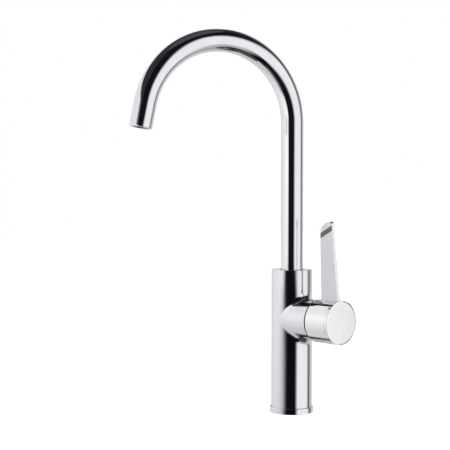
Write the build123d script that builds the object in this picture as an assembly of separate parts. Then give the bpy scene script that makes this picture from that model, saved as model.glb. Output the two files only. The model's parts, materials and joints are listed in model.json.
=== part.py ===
from build123d import *
import math
import os

# Three way kitchen tap: hot, cold and filtered water from one side lever, with a swivelling gooseneck.
# Millimetres. +Z is up and z = 0 is the worktop. The origin is the centre of the base.
# The handle is on the +X side, and straight ahead for the spout is -Y.

# Column and base
columnRadius = 23.5
columnTop = 164.3
columnFoot = 3.0
columnEdge = 0.6
undersideRadius = 19.5
undersideTop = 62.0
baseRadius = 25.0
baseHeight = 6.7
gasketOuter = 23.2
gasketInner = 20.6
gasketDepth = 1.5

# Side boss, which holds the valve cartridge
axisHeight = 108.5
bossRadius = 23.3
bossEnd = 40.6
bossBlend = 8.0
seatX = 6.0
pegPlace = 14.5
cartridgeBore = 17.6
nutBore = 19.5
nutStart = 33.0

# Handle: it tilts about a pin at pivotX, on a dome that is centred on that pin
pivotX = 29.0
domeRadius = 25.6
domeWall = 1.5
domeOpening = 15.2
skirtInner = 17.8
skirtStart = 38.6
hubCup = 27.5
hubStart = 43.3
hubEnd = 72.0
hubRadiusStart = 24.6
hubRadiusEnd = 25.0
hubCavity = 20.8
hubWebStart = 67.0
hubWebEnd = 70.0
hubRecess = 21.4
socketRadius = 9.0
socketStart = 57.3
spindleSize = 8.0
spindleEnd = 66.0
discRadius = 24.5
discEnd = 76.2
discFaceRadius = 22.8
discRimSlope = 0.4
discEdge = 0.4
grubX = 62.0
grubRadius = 2.5
plugRadius = 3.0

# Lever blade, which stands on the hub
bladeFootHeight = 20.0
bladeFootInner = 48.0
bladeFootOuter = 72.4
bladeTopInner = 45.7
bladeBend = 82.0
bladeArchX = 50.0
bladeArchEnd = 58.2
bladeTipX = 61.9
bladeTipFacet = 1.9
bladeRounding = 0.5
bladeTipHeight = 111.8
bladeShoulderHeight = 99.5
bladeFootThickness = 5.2
bladeTipThickness = 4.2
bladeScrewPlaces = (54.5, 63.5)
tongueStart = 51.0
tongueEnd = 69.0
tongueHalf = 1.9
tongueFoot = 22.4
tongueTop = 26.0
inlayDepth = 0.5
inlayCorners = [(40.0, 197.9), (40.0, 203.9), (70.0, 220.4), (70.0, 214.2)]

# Valve cartridge of 35 mm
cartridgeRadius = 17.5
housingInner = 14.5
portCircle = 9.0
portRadius = 2.4
portCount = 5
tiltArm = 8.0
slotHalfWidth = 4.2
guideHalfWidth = 8.6
discShift = -1.4
lugInner = 7.6
lugOuter = 9.5

# Gooseneck spout
tubeRadius = 12.7
tubeWall = 1.0
tubeFoot = 156.3
straightTop = 331.0
arcRadius = 90.4
arcSweep = 168.0
tailLength = 26.9
spoutAngle = -109.35
socketFloor = 132.0
socketBore = 12.78
topRingRadius = 14.2
topRingDepth = 2.5
nippleTop = 143.0
nippleBore = 2.2
nippleStem = 3.5
sealHeights = (135.6, 152.6)
glideStart = 138.6
glideEnd = 141.6
swivelHalfRange = 75.0
stopHeight = 146.5
filterTubeRadius = 4.0
filterTubeBore = 3.0

# Threaded water inlets (M8x1) and fixing stud (M8), in the floor of the hollow column
inletRadius = 3.5
inletDepth = 12.0
passageRadius = 2.5
studRadius = 3.4
studDepth = 20.0
studX = 11.5

os.makedirs("parts", exist_ok=True)
totals = {}


def save(name, *solids):
    """Writes one sub-part, whose solids may be several."""
    flat = [s for piece in solids for s in piece.solids()]
    totals[name] = sum(s.volume for s in flat)
    shape = flat[0] if len(flat) == 1 else Compound(children=flat)
    shape.label = name
    export_step(shape, f"parts/{name}.step")


def rod(radius, low, high, x=0.0, y=0.0):
    """An upright round bar."""
    place = Pos(x, y, low)
    return place * Cylinder(radius, high - low, align=(Align.CENTER, Align.CENTER, Align.MIN))


def ring(outer, inner, low, high, x=0.0, y=0.0):
    """An upright ring."""
    return rod(outer, low, high, x, y) - rod(inner, low - 1, high + 1, x, y)


def sideRod(radius, start, end, y=0.0, up=0.0):
    """A round bar along the handle's axis, moved sideways by y and upwards by up."""
    place = Pos(start, y, axisHeight + up) * Rot(0, 90, 0)
    return place * Cylinder(radius, end - start, align=(Align.CENTER, Align.CENTER, Align.MIN))


def sideRing(outer, inner, start, end, y=0.0, up=0.0):
    """A ring along the handle's axis."""
    return sideRod(outer, start, end, y, up) - sideRod(inner, start - 1, end + 1, y, up)


def sideCone(radiusStart, radiusEnd, start, end):
    """A tapered bar along the handle's axis."""
    place = Pos(start, 0, axisHeight) * Rot(0, 90, 0)
    low = (Align.CENTER, Align.CENTER, Align.MIN)
    return place * Cone(radiusStart, radiusEnd, end - start, align=low)


def block(x0, x1, y0, y1, z0, z1):
    """A box between two corners."""
    low = (Align.MIN, Align.MIN, Align.MIN)
    return Pos(x0, y0, z0) * Box(x1 - x0, y1 - y0, z1 - z0, align=low)


def onBall(ball, radius):
    """Place along the handle's axis where a ball about the tilt pin has the given radius."""
    return pivotX + math.sqrt(ball ** 2 - radius ** 2)


def ballArc(ball, start, end):
    """Arc on that ball between two radii from the axis."""
    middle = (start + end) / 2
    places = [(onBall(ball, r), r) for r in (start, middle, end)]
    return ThreePointArc(*places)


def outline(plane, *curves):
    """A face on the plane, inside curves that join end to end."""
    return plane * make_face([e for curve in curves for e in curve.edges()])


def turned(*curves):
    """A solid turned about the handle's axis, from a profile of place along the axis and radius."""
    return Pos(0, 0, axisHeight) * revolve(outline(Plane.XZ, *curves), Axis.X)


def portPlaces():
    """Sideways and upward places of the five ports, from the top one round."""
    steps = [2 * math.pi * i / portCount for i in range(portCount)]
    return [(portCircle * math.sin(a), portCircle * math.cos(a)) for a in steps]


filterOut, filterIn, hotIn, coldIn, mixedOut = portPlaces()
mainDrillX = -2.0
filterDrillX = -12.0
inlets = {
    "cold": (mainDrillX, coldIn),
    "hot": (mainDrillX, hotIn),
    "filtered": (filterDrillX, filterIn),
}


# ---- Fixed body -------------------------------------------------------------------------------

def tapBody():
    """Column and side boss in one casting, with the cartridge seat, the spout socket and waterways."""
    column = rod(columnRadius, columnFoot, columnTop)
    column = chamfer(column.edges().sort_by(Axis.Z)[-1], columnEdge)
    body = column + sideRod(bossRadius, 0, bossEnd)
    blendEdges = [
        e for e in body.edges()
        if e.geom_type != GeomType.CIRCLE and e.geom_type != GeomType.LINE
        and abs(e.center().Z - axisHeight) < columnRadius + 1
    ]
    body = fillet(blendEdges, bossBlend)
    body -= rod(undersideRadius, columnFoot - 1, undersideTop)
    body -= sideRod(cartridgeBore, seatX, bossEnd + 1)
    body -= sideRod(nutBore, nutStart, bossEnd + 1)
    for side in (-1, 1):
        body -= sideRod(1.55, seatX - 3, seatX, y=side * pegPlace)
    body -= rod(socketBore, socketFloor, columnTop + 1)
    body -= rod(topRingRadius, columnTop - topRingDepth, columnTop + 1)
    for drillX, (y, up) in inlets.values():
        height = axisHeight + up
        body -= sideRod(passageRadius, drillX, seatX + 1, y, up)
        body -= rod(passageRadius, undersideTop, height, drillX, y)
        body -= rod(inletRadius, undersideTop - 1, undersideTop + inletDepth, drillX, y)
    body -= rod(studRadius, undersideTop - 1, undersideTop + studDepth, studX)
    y, up = mixedOut
    body -= sideRod(passageRadius, mainDrillX, seatX + 1, y, up)
    body -= rod(passageRadius, axisHeight + up, socketFloor + 1, mainDrillX, y)
    y, up = filterOut
    body -= sideRod(nippleBore, 0, seatX + 1, y, up)
    body -= rod(nippleBore, axisHeight + up, socketFloor + 1)
    body -= rod(nippleStem + 0.05, socketFloor - 6, socketFloor + 1)
    screwHole = Pos(0, 0, stopHeight) * Rot(-90, 0, 0)
    body -= screwHole * Cylinder(grubRadius + 0.05, 40, align=(Align.CENTER, Align.CENTER, Align.MIN))
    return body


def baseRing():
    """Chromed ring that the column stands in, slightly wider than the column."""
    whole = rod(baseRadius, 0, baseHeight)
    whole = fillet(whole.edges().sort_by(Axis.Z)[-1], 0.8)
    whole -= rod(columnRadius + 0.05, columnFoot, baseHeight + 1)
    whole -= rod(undersideRadius, -1, columnFoot + 1)
    return whole - ring(gasketOuter + 0.05, gasketInner - 0.05, -1, gasketDepth)


def stopScrew():
    """Grub screw at the back of the column, whose nose limits the spout's swing."""
    along = Pos(0, 0, stopHeight) * Rot(-90, 0, 0)
    low = (Align.CENTER, Align.CENTER, Align.MIN)
    shank = along * Pos(0, 0, 13.2) * Cylinder(grubRadius, 9.6, align=low)
    nose = along * Pos(0, 0, 11.0) * Cylinder(2.0, 2.2, align=low)
    socket = along * Pos(0, 0, 20.3) * extrude(RegularPolygon(1.45, 6), 3)
    return shank + nose - socket


def filterNipple():
    """Brass nipple that hands the filtered water to the spout, apart from the mixed water."""
    body = rod(4.95, socketFloor, nippleTop) + rod(nippleStem, socketFloor - 6, socketFloor)
    body -= ring(6, 3.7, 136.9, 139.1)
    return body - rod(nippleBore, socketFloor - 7, nippleTop + 1)


def nippleSeal():
    """Ring seal in the nipple's groove."""
    return Pos(0, 0, 138) * Torus(4.35, 0.62)


def columnTopRing():
    """Dark glide ring between the column's top and the tube."""
    return ring(topRingRadius - 0.05, tubeRadius + 0.1, columnTop - topRingDepth, columnTop - 0.1)


def cartridgeHousing():
    """Round housing of the cartridge, notched on top for the fitting tool."""
    body = sideRod(cartridgeRadius, 9, nutStart)
    body -= sideRod(housingInner, 8, 31)
    body -= sideRod(11.5, 30, nutStart + 1)
    for angle in range(0, 360, 60):
        cut = Pos(nutStart, 0, axisHeight) * Rot(angle, 0, 0) * block(-1.2, 1, -1.5, 1.5, 14, 19)
        body -= cut
    return body


def cartridgeBase():
    """Floor of the cartridge, with five ports and two pegs that set it in the seat."""
    body = sideRod(cartridgeRadius, seatX, 9)
    for y, up in portPlaces():
        body -= sideRod(portRadius, seatX - 1, 10, y, up)
        body -= sideRod(3.6, seatX - 1, seatX + 1.3, y, up)
    for side in (-1, 1):
        body += sideRod(1.5, seatX - 2.6, seatX, y=side * pegPlace)
    return body


def portSeals():
    """One ring seal round each port."""
    return [sideRing(3.55, portRadius, seatX, seatX + 1.3, y, up) for y, up in portPlaces()]


def fixedDisc():
    """Ceramic disc that stays put, with the five ports."""
    body = sideRod(housingInner - 0.1, 9, 12)
    for y, up in portPlaces():
        body -= sideRod(portRadius, 8, 13, y, up)
    return body


def clampNut():
    """Slotted nut that clamps the cartridge on its seat."""
    body = sideRing(nutBore - 0.1, 12.5, nutStart, 38.4)
    for angle in range(0, 360, 60):
        body -= Pos(38.4, 0, axisHeight) * Rot(angle, 0, 0) * block(-2, 1, -1.6, 1.6, 16, 21)
    return body


def domeCover():
    """Dark dome that the handle's cup glides over; its skirt screws into the boss."""
    skirtOuter = nutBore - 0.15
    inside = domeRadius - domeWall
    rim = math.sqrt(domeRadius ** 2 - (bossEnd - pivotX) ** 2)
    innerRim = math.sqrt(inside ** 2 - (bossEnd + domeWall - pivotX) ** 2)
    return turned(
        ballArc(domeRadius, rim, domeOpening),
        Line((onBall(domeRadius, domeOpening), domeOpening), (onBall(inside, domeOpening), domeOpening)),
        ballArc(inside, domeOpening, innerRim),
        Polyline(
            (bossEnd + domeWall, innerRim),
            (bossEnd + domeWall, skirtInner),
            (skirtStart, skirtInner),
            (skirtStart, skirtOuter),
            (bossEnd, skirtOuter),
            (bossEnd, rim),
        ),
    )


# ---- Turning carrier, tilting spindle and sliding disc ------------------------------------------

def discCarrier():
    """Rotor inside the cartridge: turns with the handle and guides the sliding disc."""
    body = sideRod(housingInner - 0.08, 15.2, 30.7)
    low, high = axisHeight - 8.3, axisHeight + 8.3
    body -= block(14, 32, -slotHalfWidth, slotHalfWidth, low, high)
    body -= block(14, 19.2, -guideHalfWidth, guideHalfWidth, axisHeight - 16, axisHeight + 16)
    return body - Pos(pivotX, 0, axisHeight) * Rot(90, 0, 0) * Cylinder(2.03, 40)


def pivotPin():
    """Cross pin that the spindle tilts on."""
    return Pos(pivotX, 0, axisHeight) * Rot(90, 0, 0) * Cylinder(2.0, 25.0)


def spindle():
    """Square bar between the handle and the sliding disc, with a ball at its inner end."""
    half = spindleSize / 2
    bar = block(pivotX - 3.2, spindleEnd, -half, half, axisHeight - half, axisHeight + half)
    arm = sideRod(2.2, pivotX - tiltArm, pivotX - 3)
    ball = Pos(pivotX - tiltArm, 0, axisHeight) * Sphere(3.0)
    hole = Pos(pivotX, 0, axisHeight) * Rot(90, 0, 0) * Cylinder(2.06, 20)
    return bar + arm + ball - hole


def discDriver():
    """Slider that the spindle's ball pushes; two lugs hold the ceramic disc."""
    middle = axisHeight + discShift
    body = block(15.0, 19.0, -8.4, 8.4, middle - lugOuter - 0.1, middle + lugOuter + 0.1)
    body += block(19.0, 22.4, -4.0, 4.0, axisHeight - 5.2, axisHeight + 5.2)
    body += block(13.4, 15.0, -2, 2, middle - lugOuter, middle - lugInner)
    body += block(13.4, 15.0, -2, 2, middle + lugInner, middle + lugOuter)
    return body - sideRod(3.25, 17.6, 23)


def movingDisc():
    """Ceramic disc with a chamber that joins the open ports; it rests below the middle."""
    middle = axisHeight + discShift
    body = sideRod(12.4, 12.0, 15.0, up=discShift)
    body -= sideRod(6.2, 11, 13.2, up=discShift)
    body -= block(13.3, 16, -2.1, 2.1, middle - lugOuter - 0.1, middle - lugInner + 0.1)
    body -= block(13.3, 16, -2.1, 2.1, middle + lugInner - 0.1, middle + lugOuter + 0.1)
    return body


# ---- Handle ---------------------------------------------------------------------------------------

def hubOutside():
    """The hub's tapered outside, uncut."""
    return sideCone(hubRadiusStart, hubRadiusEnd, hubStart, hubEnd)


def handleHub():
    """Cup over the dome, with a square socket for the spindle."""
    lip = math.sqrt(hubCup ** 2 - (hubStart - pivotX) ** 2)
    body = turned(
        Polyline(
            (hubStart, lip),
            (hubStart, hubRadiusStart),
            (hubEnd, hubRadiusEnd),
            (hubEnd, hubRecess),
            (hubWebEnd, hubRecess),
            (hubWebEnd, 0),
            (socketStart, 0),
            (socketStart, socketRadius),
            (hubWebStart, socketRadius),
            (hubWebStart, hubCavity),
            (onBall(hubCup, hubCavity), hubCavity),
        ),
        ballArc(hubCup, hubCavity, lip),
    )
    half = spindleSize / 2 + 0.05
    body -= block(socketStart - 1, spindleEnd, -half, half, axisHeight - half, axisHeight + half)
    body -= rod(grubRadius + 0.05, axisHeight - 14, axisHeight, x=grubX)
    body -= rod(plugRadius + 0.05, axisHeight - 26, axisHeight - 14, x=grubX)
    body -= tenonBlock(0.05)
    for x in bladeScrewPlaces:
        body -= rod(1.6, axisHeight + 14, axisHeight + 26, x=x)
    return body


def tenonBlock(gap):
    """The blade's tongue, which sits in a slot milled in the hub's top."""
    half = tongueHalf + gap
    low, high = axisHeight + tongueFoot - gap, axisHeight + tongueTop
    return block(tongueStart - gap, tongueEnd + gap, -half, half, low, high)


def bladeOutline():
    """The blade seen from the front: rounded inner corner, slanted outer edge, a facet at the tip."""
    foot = axisHeight + bladeFootHeight
    shoulder = axisHeight + bladeShoulderHeight
    tip = axisHeight + bladeTipHeight
    return outline(
        Plane.XZ,
        Line((bladeFootOuter, foot), (bladeFootInner, foot)),
        Line((bladeFootInner, foot), (bladeTopInner, axisHeight + bladeBend)),
        Line((bladeTopInner, axisHeight + bladeBend), (bladeTopInner, shoulder)),
        ThreePointArc((bladeTopInner, shoulder), (bladeArchX, tip - 4.2), (bladeArchEnd, tip - 0.4)),
        Line((bladeArchEnd, tip - 0.4), (bladeTipX - bladeTipFacet, tip)),
        Line((bladeTipX - bladeTipFacet, tip), (bladeTipX, tip - bladeTipFacet)),
        Line((bladeTipX, tip - bladeTipFacet), (bladeFootOuter, foot)),
    )


def bladeSlab(share):
    """The blade's outline with its taper; a share of 1 is all of it and 0 is its front half."""
    flat = extrude(bladeOutline(), 10, both=True)
    low, high = axisHeight + 18, axisHeight + 114
    wedge = outline(Plane.YZ, Polyline(
        (-bladeFootThickness / 2, low),
        (share * bladeFootThickness / 2, low),
        (share * bladeTipThickness / 2, high),
        (-bladeTipThickness / 2, high),
        close=True,
    ))
    return flat & (Pos(40, 0, 0) * extrude(wedge, 40))


def leverBlade():
    """Flat blade that thins towards its tip, with a tongue into the hub and a recess for the inlay."""
    blade = bladeSlab(1)
    foot = axisHeight + bladeFootHeight
    rims = [e for e in blade.edges() if abs(e.center().Y) > 1 and e.center().Z > foot + 1]
    blade = fillet(rims, bladeRounding)
    blade -= sideCone(hubRadiusStart + 0.02, hubRadiusEnd + 0.02, hubStart, hubEnd)
    blade -= sideRod(discRadius + 0.05, hubEnd - 0.02, discEnd)
    blade += tenonBlock(0) & sideRod(hubRadiusEnd + 0.5, 50, 70)
    for x in bladeScrewPlaces:
        blade -= rod(1.25, axisHeight + 18, axisHeight + 31, x=x)
    return blade - inlayStrip()


def inlayStrip():
    """Slanted plain strip near the tip, flush with the blade's front face."""
    strip = outline(Plane.XZ, Polyline(*inlayCorners, close=True))
    front = -bladeTipThickness / 2 - 0.1
    return Pos(0, front + inlayDepth, 0) * extrude(strip, 10)


def leverInlay():
    """Strip of the blade's own outline, in the recess."""
    return bladeSlab(0) & inlayStrip()


def leverScrews():
    """Two screws from inside the hub into the blade's foot."""
    screws = []
    for x in bladeScrewPlaces:
        head = rod(2.6, axisHeight + 18.6, axisHeight + hubCavity - 0.4, x=x)
        shank = rod(1.2, axisHeight + 20, axisHeight + 30, x=x)
        screws.append(head + shank - rod(1.2, axisHeight + 18, axisHeight + 19.8, x=x))
    return screws


def endDisc():
    """Round cover of the hub, with a flat face and a rim that slopes gently to a rounded edge."""
    body = turned(Polyline(
        (hubWebEnd, 0),
        (hubWebEnd, hubRecess - 0.05),
        (hubEnd, hubRecess - 0.05),
        (hubEnd, discRadius),
        (discEnd - discRimSlope, discRadius),
        (discEnd, discFaceRadius),
        (discEnd, 0),
        close=True,
    ))
    rim = body.edges().filter_by(GeomType.CIRCLE).sort_by(Axis.X)[-2]
    return fillet(rim, discEdge)


def handleScrew():
    """Grub screw under the hub that holds it on the spindle."""
    body = rod(grubRadius, axisHeight - 10, axisHeight - spindleSize / 2, x=grubX)
    socket = Pos(grubX, 0, axisHeight - 10) * extrude(RegularPolygon(1.45, 6), 2.5)
    return body - socket


def screwPlug():
    """Plug over the grub screw's hole, flush with the hub."""
    return rod(plugRadius, axisHeight - 30, axisHeight - hubCavity - 0.3, x=grubX) & hubOutside()


# ---- Spout -----------------------------------------------------------------------------------------

spoutTurn = Rot(0, 0, spoutAngle)
arcEnd = (
    arcRadius * (1 - math.cos(math.radians(arcSweep))),
    0,
    straightTop + arcRadius * math.sin(math.radians(arcSweep)),
)
tailWay = (math.sin(math.radians(arcSweep)), 0, math.cos(math.radians(arcSweep)))
tipPoint = tuple(a + tailLength * b for a, b in zip(arcEnd, tailWay))
tailPlane = Plane(origin=arcEnd, x_dir=(0, 1, 0), z_dir=tailWay)
tipPlane = Plane(origin=tipPoint, x_dir=(0, 1, 0), z_dir=tailWay)


def bentTube(outer, inner, foot, cutShort):
    """Round tube up the straight, over the arc and down the tail, which stops cutShort early."""
    section = Circle(outer) - Circle(inner)
    straight = extrude(Plane.XY.offset(foot) * section, straightTop - foot)
    turnAxis = Axis((arcRadius, 0, straightTop), (0, 1, 0))
    arc = revolve(Plane.XY.offset(straightTop) * section, turnAxis, arcSweep)
    tail = extrude(tailPlane * section, tailLength - cutShort)
    return straight + arc + tail


def tipRod(radius, low, high):
    """A round bar along the tail, measured from the tip; minus is up the tube."""
    return tipPlane * rod(radius, low, high)


def spoutTube():
    """The visible gooseneck."""
    body = bentTube(tubeRadius, tubeRadius - tubeWall, tubeFoot, 1.0)
    return spoutTurn * body


def spoutSpigot():
    """Brass foot of the spout: seal grooves, stop slot and two separate waterways."""
    body = rod(tubeRadius, socketFloor + 0.3, tubeFoot)
    body += rod(tubeRadius - tubeWall - 0.05, tubeFoot, 172)
    for height in sealHeights:
        body -= ring(14, 11.1, height - 1.0, height + 1.0)
    body -= ring(14, 11.7, glideStart, glideEnd)
    profile = Plane.XZ * Pos(12.4, stopHeight) * Rectangle(4.0, 5.4)
    slot = revolve(profile, Axis.Z, 2 * (swivelHalfRange + 14.5))
    slotStart = 90 - (swivelHalfRange - (spoutAngle + 90)) - 14.5
    body -= Rot(0, 0, slotStart) * slot
    body -= rod(5.05, 130, nippleTop + 0.5)
    body -= rod(filterTubeBore, nippleTop, 148)
    body -= rod(filterTubeRadius + 0.05, 147, 173)
    for step in range(6):
        angle = math.radians(60 * step + 30)
        x, y = 7.6 * math.cos(angle), 7.6 * math.sin(angle)
        body -= rod(1.6, 130, 173, x, y)
    return body


def spoutSeals():
    """Two ring seals in the spigot's grooves."""
    return [Pos(0, 0, z) * Torus(11.93, 0.8) for z in sealHeights]


def spigotGlideRing():
    """Plastic ring that the spigot turns on."""
    return ring(tubeRadius + 0.03, 11.75, glideStart + 0.05, glideEnd - 0.05)


def filterTube():
    """Tube inside the spout that keeps filtered water apart up to the outlet."""
    return spoutTurn * bentTube(filterTubeRadius, filterTubeBore, 147, 12.0)


def aeratorHousing():
    """Chromed ring at the tip that holds the insert."""
    body = tipRod(tubeRadius - tubeWall - 0.05, -11, -1) + tipRod(tubeRadius - 0.4, -1, 0)
    return spoutTurn * (body - tipRod(9.6, -12, 1))


def aeratorInsert():
    """Plastic insert with a ring of slots for the mixed water."""
    body = tipRod(9.5, -9, -0.6) - tipRod(3.6, -10, 1)
    for step in range(12):
        slot = tipPlane * Rot(0, 0, 30 * step) * block(5.0, 8.4, -0.7, 0.7, -10, 1)
        body -= slot
    return spoutTurn * body


def aeratorWasher():
    """Flat washer above the outlet ring."""
    return spoutTurn * (tipRod(11.4, -12.6, -11) - tipRod(8.6, -13, -10))


def filterNozzle():
    """Centre outlet for the filtered water, on the end of the inner tube."""
    body = tipRod(3.5, -9, 0) + tipRod(4.6, -12, -9)
    return spoutTurn * (body - tipRod(2.4, -13, 1))


save("tap_body", tapBody())
save("base_ring", baseRing())
save("base_gasket", ring(gasketOuter, gasketInner, 0, gasketDepth))
save("spout_stop_screw", stopScrew())
save("filter_nipple", filterNipple())
save("nipple_seal", nippleSeal())
save("column_top_ring", columnTopRing())
save("cartridge_housing", cartridgeHousing())
save("cartridge_base", cartridgeBase())
save("port_seals", *portSeals())
save("fixed_disc", fixedDisc())
save("clamp_nut", clampNut())
save("dome_cover", domeCover())
save("disc_carrier", discCarrier())
save("pivot_pin", pivotPin())
save("disc_driver", discDriver())
save("moving_disc", movingDisc())
save("spindle", spindle())
save("handle_hub", handleHub())
save("lever_blade", leverBlade())
save("lever_inlay", leverInlay())
save("lever_screws", *leverScrews())
save("end_disc", endDisc())
save("handle_screw", handleScrew())
save("screw_plug", screwPlug())
save("spout_tube", spoutTube())
save("spout_spigot", spoutSpigot())
save("spout_seals", *spoutSeals())
save("spigot_glide_ring", spigotGlideRing())
save("filter_tube", filterTube())
save("aerator_housing", aeratorHousing())
save("aerator_insert", aeratorInsert())
save("aerator_washer", aeratorWasher())
save("filter_nozzle", filterNozzle())

print("sub-parts:", len(totals))
print("tip point:", [round(v, 1) for v in tipPoint])
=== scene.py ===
import json
import math

import bmesh
import bpy
from mathutils import Matrix, Vector


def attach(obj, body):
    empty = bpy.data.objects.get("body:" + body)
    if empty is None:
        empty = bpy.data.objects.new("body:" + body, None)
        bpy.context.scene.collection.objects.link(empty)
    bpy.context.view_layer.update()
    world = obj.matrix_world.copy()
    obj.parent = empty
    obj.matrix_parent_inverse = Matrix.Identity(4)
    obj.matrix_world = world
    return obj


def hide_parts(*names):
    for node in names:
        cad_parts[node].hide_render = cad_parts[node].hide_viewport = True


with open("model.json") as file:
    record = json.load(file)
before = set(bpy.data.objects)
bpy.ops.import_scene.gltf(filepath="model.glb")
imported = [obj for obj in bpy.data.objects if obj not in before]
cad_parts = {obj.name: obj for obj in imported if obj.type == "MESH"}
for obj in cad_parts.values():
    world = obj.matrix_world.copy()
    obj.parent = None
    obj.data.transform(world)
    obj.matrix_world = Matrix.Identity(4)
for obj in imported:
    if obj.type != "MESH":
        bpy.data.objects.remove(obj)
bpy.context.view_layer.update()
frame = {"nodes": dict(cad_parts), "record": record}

bpy.ops.object.select_all(action="DESELECT")
mm = 0.001
hair = 1e-6  # corners nearer to each other than this, in metres, are one
axisHeight = 0.1085  # the handle's axis above the worktop
print("frame loaded:", len(frame["nodes"]), "nodes")


# Small helpers that every piece uses

def linearColour(hexCode):
    # an sRGB hex value as the linear colour that the sockets take
    parts = [int(hexCode[i:i + 2], 16) / 255 for i in (0, 2, 4)]
    return [p / 12.92 if p <= 0.04045 else ((p + 0.055) / 1.055) ** 2.4 for p in parts] + [1.0]


def addNode(tree, kind, settings=None, values=None, links=None):
    node = tree.nodes.new(kind)
    for name, value in (settings or {}).items():
        setattr(node, name, value)
    for name, value in (values or {}).items():
        node.inputs[name].default_value = value
    for name, source in (links or {}).items():
        tree.links.new(source, node.inputs[name])
    return node


def newMaterial(name):
    material = bpy.data.materials.new(name)
    material.use_nodes = True
    material.node_tree.nodes.clear()
    return material, material.node_tree


def startRing(name, radius, place=Matrix.Identity(4), corners=192, filled=False):
    # a new piece begins as a ring, or a round face, that is left selected in edit mode
    bpy.ops.object.select_all(action="DESELECT")
    fill = "NGON" if filled else "NOTHING"
    bpy.ops.mesh.primitive_circle_add(vertices=corners, radius=radius, fill_type=fill)
    piece = bpy.context.object
    piece.name = name
    piece.data.name = name
    piece.matrix_world = place
    bpy.ops.object.transform_apply(location=True, rotation=True, scale=True)
    bpy.ops.object.mode_set(mode="EDIT")
    bpy.ops.mesh.select_all(action="SELECT")
    return piece


def placeSelected(where):
    # each selected corner goes where the function says
    mesh = bmesh.from_edit_mesh(bpy.context.object.data)
    for corner in mesh.verts:
        if corner.select:
            corner.co = where(corner.co)
    bmesh.update_edit_mesh(bpy.context.object.data)


def pick(test, kind="VERT"):
    # selects the corners, edges or faces that pass the test, and nothing else
    bpy.ops.mesh.select_mode(type=kind)
    bpy.ops.mesh.select_all(action="DESELECT")
    mesh = bmesh.from_edit_mesh(bpy.context.object.data)
    parts = {"VERT": mesh.verts, "EDGE": mesh.edges, "FACE": mesh.faces}[kind]
    for part in parts:
        if test(part):
            part.select_set(True)
    mesh.select_flush_mode()
    bmesh.update_edit_mesh(bpy.context.object.data)


def extrudeTo(where):
    bpy.ops.mesh.extrude_region_move()
    placeSelected(where)


def closeMesh():
    # merges doubles, turns the faces outwards and leaves edit mode
    bpy.ops.mesh.select_mode(type="VERT")
    bpy.ops.mesh.select_all(action="SELECT")
    bpy.ops.mesh.remove_doubles(threshold=hair)
    bpy.ops.mesh.normals_make_consistent(inside=False)
    bpy.ops.mesh.select_all(action="DESELECT")
    bpy.ops.object.mode_set(mode="OBJECT")


def applyModifier(piece, kind, **settings):
    modifier = piece.modifiers.new(kind, kind)
    for name, value in settings.items():
        setattr(modifier, name, value)
    bpy.context.view_layer.objects.active = piece
    bpy.ops.object.modifier_apply(modifier=modifier.name)


def roundEdges(piece, width, segments=3, angle=40):
    applyModifier(piece, "BEVEL", width=width, segments=segments, limit_method="ANGLE",
                  angle_limit=math.radians(angle), use_clamp_overlap=True)


def finishPiece(piece, body, materials, replaced=(), angle=35):
    # places the piece in its mesh, smooths it and hands it to its body
    bpy.ops.object.select_all(action="DESELECT")
    piece.select_set(True)
    bpy.context.view_layer.objects.active = piece
    bpy.ops.object.transform_apply(location=True, rotation=True, scale=True)
    bpy.ops.object.shade_smooth_by_angle(angle=math.radians(angle))
    applyModifier(piece, "WEIGHTED_NORMAL", mode="FACE_AREA", keep_sharp=True)
    if not piece.data.materials:
        for material in materials:
            piece.data.materials.append(material)
    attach(piece, body)
    if replaced:
        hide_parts(*replaced)
    print("made", piece.name, len(piece.data.polygons), "faces")
    return piece


def turnPiece(name, profile, place=Matrix.Identity(4), filled=False, corners=192):
    # one ring is extruded along the profile's (radius, height) pairs in millimetres, as on a lathe
    radius, height = profile[0]
    piece = startRing(name, radius * mm, Matrix.Translation((0, 0, height * mm)), corners, filled)
    for newRadius, newHeight in profile[1:]:
        lift = (newHeight - height) * mm
        bpy.ops.mesh.extrude_region_move(TRANSFORM_OT_translate={"value": (0, 0, lift)})
        scale = newRadius / radius
        bpy.ops.transform.resize(value=(scale, scale, 1), center_override=(0, 0, newHeight * mm))
        radius, height = newRadius, newHeight
    closeMesh()
    piece.matrix_world = place
    return piece


def arcPoints(centre, radius, start, end, steps):
    # (radius, height) pairs on an arc of a lathe profile, angles in degrees
    turns = [math.radians(start + (end - start) * i / steps) for i in range(steps + 1)]
    return [(centre[0] + radius * math.cos(t), centre[1] + radius * math.sin(t)) for t in turns]


def slabPiece(name, drawing, front, back):
    # a flat slab whose outline is given as (x, z) in millimetres; front and back give y for a height
    piece = startRing(name, mm, corners=len(drawing), filled=True)
    places = iter(drawing)

    def onFront(corner):
        x, z = next(places)
        return Vector((x * mm, front(z) * mm, z * mm))

    placeSelected(onFront)
    extrudeTo(lambda p: Vector((p.x, back(p.z / mm) * mm, p.z)))
    closeMesh()
    return piece


def duplicate(piece, name):
    # a copy with its own mesh
    bpy.ops.object.select_all(action="DESELECT")
    piece.select_set(True)
    bpy.context.view_layer.objects.active = piece
    bpy.ops.object.duplicate()
    twin = bpy.context.object
    twin.name = name
    twin.data.name = name
    return twin


def carve(piece, cutter, operation="DIFFERENCE", keep=False):
    # cuts with the cutter's shape, or keeps what both share
    applyModifier(piece, "BOOLEAN", operation=operation, object=cutter, solver="EXACT")
    if not keep:
        bpy.ops.object.select_all(action="DESELECT")
        cutter.select_set(True)
        bpy.ops.object.delete()


# a lathe's height along the handle's axis
sideways = Matrix.Translation((0, 0, axisHeight)) @ Matrix.Rotation(math.pi / 2, 4, "Y")


# Materials

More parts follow.
